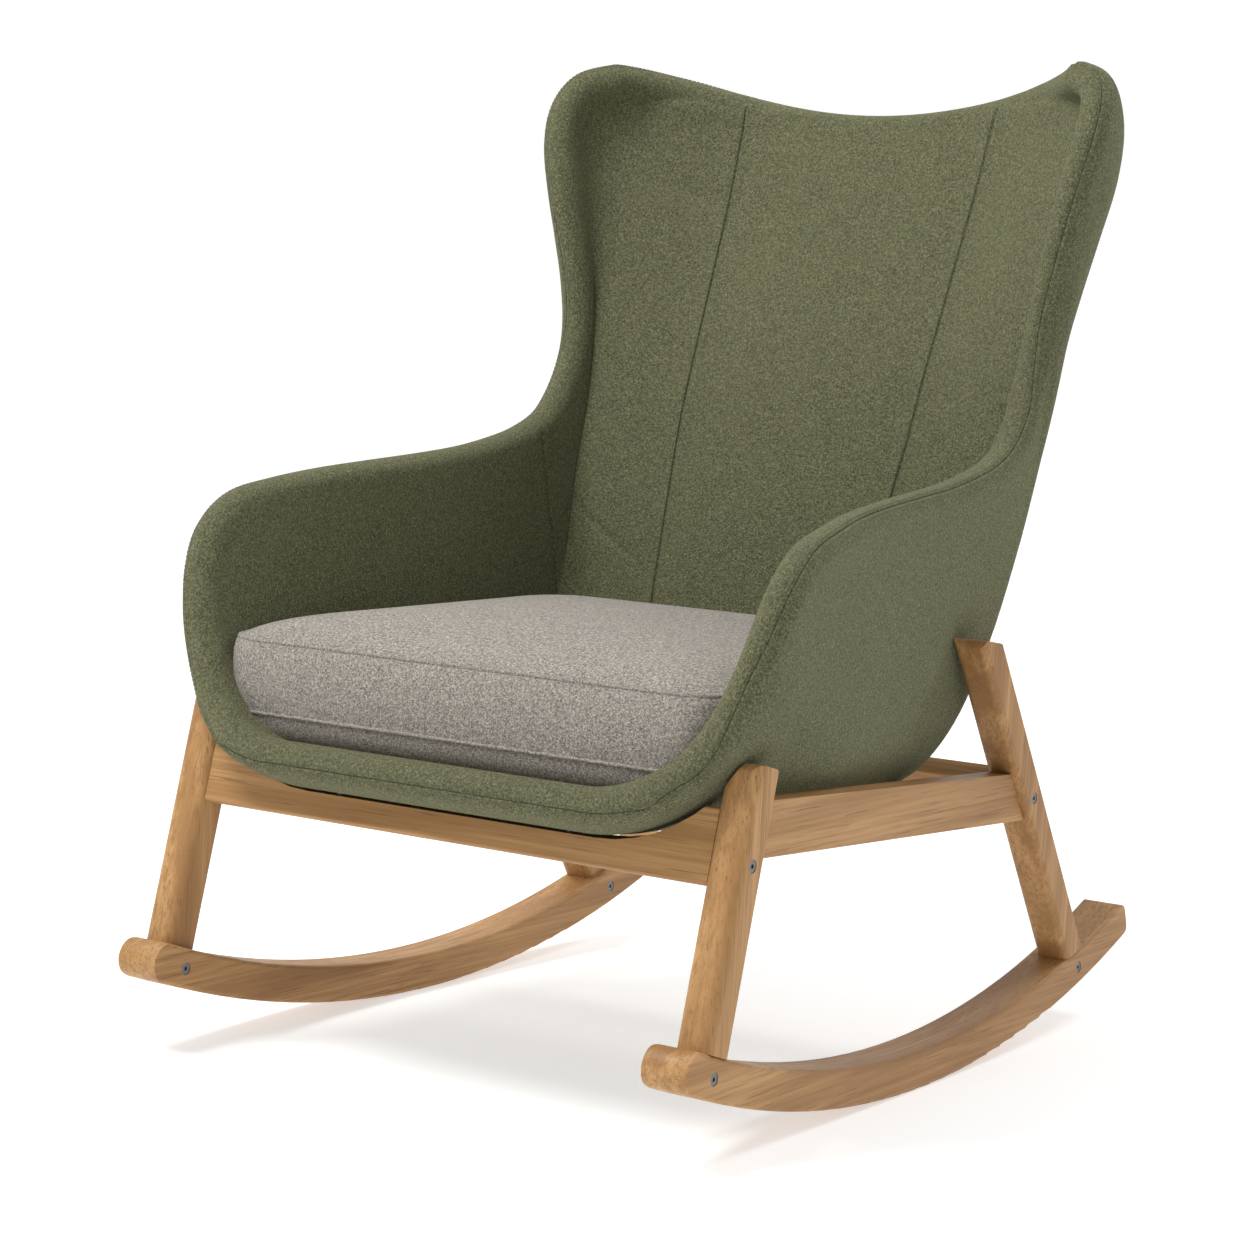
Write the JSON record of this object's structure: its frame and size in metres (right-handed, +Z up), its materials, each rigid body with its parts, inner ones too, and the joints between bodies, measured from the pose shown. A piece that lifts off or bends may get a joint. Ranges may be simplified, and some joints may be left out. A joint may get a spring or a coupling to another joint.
{
  "type": "rocking chair",
  "caption": "Wingback rocking chair: padded shell seat and arms on an oak rocker base, with a loose seat cushion.",
  "frame": {"origin": "on the floor, midway between the rockers' outer faces, on the line where the rockers touch the floor", "axes": "+Z up; the sitter faces -Y; +X is the sitter's left"},
  "size_m": [0.6814, 0.9025, 1.0057],
  "materials": {
    "oak": "satin oiled oak",
    "plywood": "bare moulded plywood",
    "beech": "bare dowel",
    "zinc": "dark zinc plate",
    "green_fabric": "olive green boucle wool",
    "grey_fabric": "warm grey tweed weave",
    "foam": "upholstery foam"
  },
  "bodies": {
    "chair": {"rocker_left": "oak", "rocker_right": "oak", "front_leg_left": "oak", "front_leg_right": "oak", "rear_leg_left": "oak", "rear_leg_right": "oak", "front_rail": "oak", "rear_rail": "oak", "side_rail_left": "oak", "side_rail_right": "oak", "bearer": "oak", "rail_dowels": "beech", "bearer_dowels": "beech", "rocker_bolts": "zinc", "sleeve_nuts": "zinc", "rail_bolts": "zinc", "barrel_nuts": "zinc", "seat_bolts_front": "zinc", "seat_bolts_rear": "zinc", "tee_nuts": "zinc", "shell_core": "plywood", "inner_foam": "foam", "outer_foam": "foam", "inner_cover": "green_fabric", "outer_cover": "green_fabric"},
    "cushion": {"seat_cushion": "grey_fabric"}
  },
  "joints": [
    {"name": "cushion_lift", "type": "slide", "parent": "chair", "child": "cushion", "axis": [0, 0, 1], "range_m": [0, 0.3]}
  ]
}
